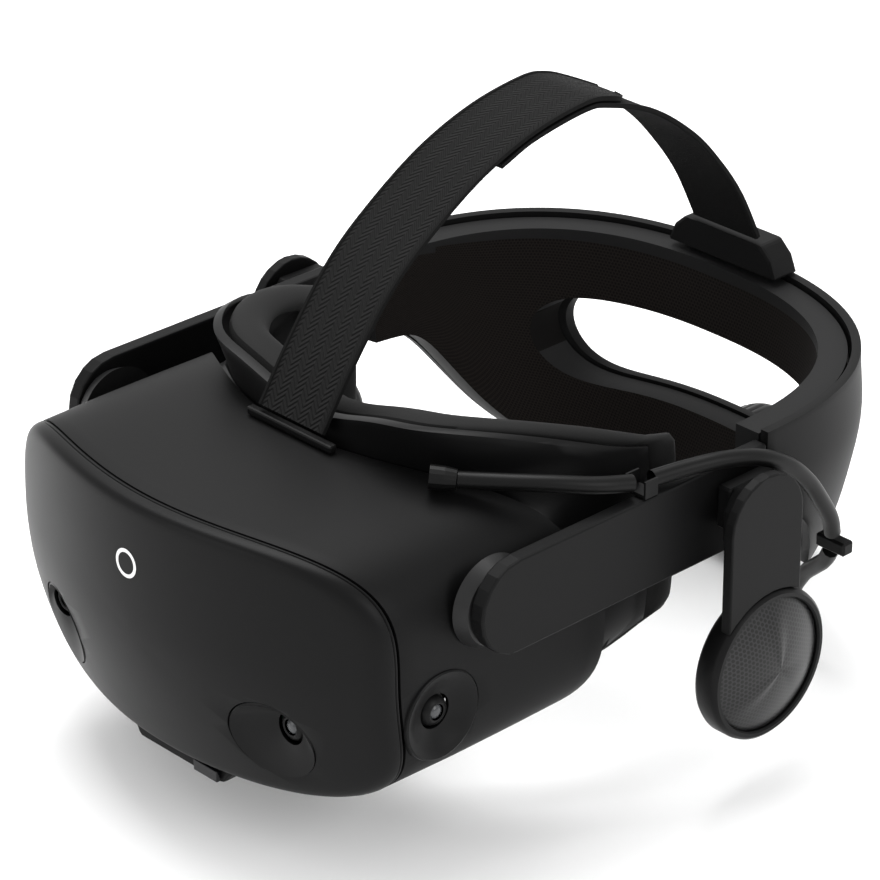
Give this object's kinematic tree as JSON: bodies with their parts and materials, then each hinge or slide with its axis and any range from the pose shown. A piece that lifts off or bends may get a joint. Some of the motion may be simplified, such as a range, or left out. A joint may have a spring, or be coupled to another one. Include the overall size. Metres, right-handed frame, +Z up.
{
  "type": "vr headset",
  "caption": "Tethered VR headset: bowed visor on side arms, padded open halo band with rear size dial, hook-and-loop top strap, off-ear speakers and a coiled round cable.",
  "frame": {"origin": "centre of the footprint of the headset without its cable, at the level of its lowest point", "axes": "+X to the wearer's left, +Y from the front cover to the back of the head, +Z up"},
  "size_m": [0.2532, 0.3195, 0.2167],
  "materials": {
    "shell_plastic": "fine-textured matt black",
    "satin_plastic": "satin black",
    "gloss_black": "glossy camera window and panel",
    "lens_glass": "clear lens",
    "strap_webbing": "woven hook-and-loop webbing",
    "cushion_fabric": "smooth padded fabric",
    "pad_fabric": "knitted pad fabric",
    "speaker_mesh": "perforated black grille",
    "cable_rubber": "smooth black jacket",
    "circuit_board": "solder mask",
    "steel": "plain steel"
  },
  "bodies": {
    "headband": {"halo_shell": "shell_plastic", "halo_pad": "pad_fabric", "strap_mount": "shell_plastic", "top_strap_rear": "strap_webbing", "cable_clip_rear": "satin_plastic", "tether_rear": "cable_rubber", "tether_coil": "cable_rubber", "tether_plug": "cable_rubber"},
    "dial": {"size_dial": "satin_plastic"},
    "arms": {"side_arm_left": "shell_plastic", "side_arm_right": "shell_plastic", "slide_tongue_left": "steel", "slide_tongue_right": "steel", "hinge_pin_left": "steel", "hinge_pin_right": "steel", "cable_clip_arm": "satin_plastic", "speaker_bracket_left": "satin_plastic", "speaker_bracket_right": "satin_plastic", "tether_middle": "cable_rubber"},
    "visor": {"front_cover": "shell_plastic", "main_shell": "shell_plastic", "strap_anchor_bar": "satin_plastic", "cable_gland": "cable_rubber", "chin_camera_housing": "shell_plastic", "chin_camera_window": "gloss_black", "lens_plate": "shell_plastic", "main_board": "circuit_board", "gasket_frame": "satin_plastic", "face_cushion": "cushion_fabric", "front_camera_dish_left": "shell_plastic", "front_camera_dish_right": "shell_plastic", "front_camera_left": "gloss_black", "front_camera_right": "gloss_black", "side_camera_dish_left": "shell_plastic", "side_camera_dish_right": "shell_plastic", "side_camera_left": "gloss_black", "side_camera_right": "gloss_black", "pivot_boss_left": "satin_plastic", "pivot_boss_right": "satin_plastic", "top_strap_front": "strap_webbing", "tether_front": "cable_rubber"},
    "lens_pod_left": {"lens_barrel_left": "shell_plastic", "lens_left": "lens_glass", "display_panel_left": "gloss_black"},
    "lens_pod_right": {"lens_barrel_right": "shell_plastic", "lens_right": "lens_glass", "display_panel_right": "gloss_black"},
    "ipd_knob": {"ipd_slider": "satin_plastic"},
    "volume_up": {"volume_up_button": "satin_plastic"},
    "volume_down": {"volume_down_button": "satin_plastic"},
    "carriage_left": {"speaker_carriage_left": "shell_plastic"},
    "carriage_right": {"speaker_carriage_right": "shell_plastic"},
    "speaker_left": {"speaker_stem_left": "shell_plastic", "speaker_housing_left": "shell_plastic", "speaker_grille_left": "speaker_mesh", "speaker_driver_left": "gloss_black"},
    "speaker_right": {"speaker_stem_right": "shell_plastic", "speaker_housing_right": "shell_plastic", "speaker_grille_right": "speaker_mesh", "speaker_driver_right": "gloss_black"}
  },
  "joints": [
    {"name": "size_slide", "type": "slide", "parent": "headband", "child": "arms", "axis": [0, -1, 0], "range_m": [0, 0.018], "deforming": ["top_strap_rear", "tether_middle"]},
    {"name": "dial_turn", "type": "hinge", "parent": "headband", "child": "dial", "pos_m": [0, 0.148, 0.026], "axis": [0, 1, 0], "range_deg": [0, 90]},
    {"name": "visor_tilt", "type": "hinge", "parent": "arms", "child": "visor", "pos_m": [0, -0.087, 0.101], "axis": [1, 0, 0], "range_deg": [-20, 6], "deforming": ["top_strap_front", "tether_front"]},
    {"name": "lens_left_slide", "type": "slide", "parent": "visor", "child": "lens_pod_left", "axis": [1, 0, 0], "range_m": [-0.002, 0.002]},
    {"name": "lens_right_slide", "type": "slide", "parent": "visor", "child": "lens_pod_right", "axis": [1, 0, 0], "range_m": [-0.002, 0.002]},
    {"name": "ipd_slide", "type": "slide", "parent": "visor", "child": "ipd_knob", "axis": [1, 0, 0], "range_m": [-0.004, 0.004]},
    {"name": "volume_up_press", "type": "slide", "parent": "visor", "child": "volume_up", "axis": [0, 0, 1], "range_m": [0, 0.0006], "stiffness_N_per_m": 300},
    {"name": "volume_down_press", "type": "slide", "parent": "visor", "child": "volume_down", "axis": [0, 0, 1], "range_m": [0, 0.0006], "stiffness_N_per_m": 300},
    {"name": "speaker_left_swing", "type": "hinge", "parent": "arms", "child": "carriage_left", "pos_m": [0.112, 0.02, 0.113], "axis": [0, 1, 0], "range_deg": [-15, 0]},
    {"name": "speaker_right_swing", "type": "hinge", "parent": "arms", "child": "carriage_right", "pos_m": [-0.112, 0.02, 0.113], "axis": [0, 1, 0], "range_deg": [0, 15]},
    {"name": "speaker_left_height", "type": "slide", "parent": "carriage_left", "child": "speaker_left", "axis": [0, 0, 1], "range_m": [-0.008, 0]},
    {"name": "speaker_right_height", "type": "slide", "parent": "carriage_right", "child": "speaker_right", "axis": [0, 0, 1], "range_m": [-0.008, 0]}
  ],
  "couplings": [
    {"joint": "dial_turn", "follows": "size_slide", "rad_per_m": 80},
    {"joint": "lens_right_slide", "follows": "lens_left_slide", "ratio": -1},
    {"joint": "ipd_slide", "follows": "lens_left_slide", "ratio": 2}
  ]
}
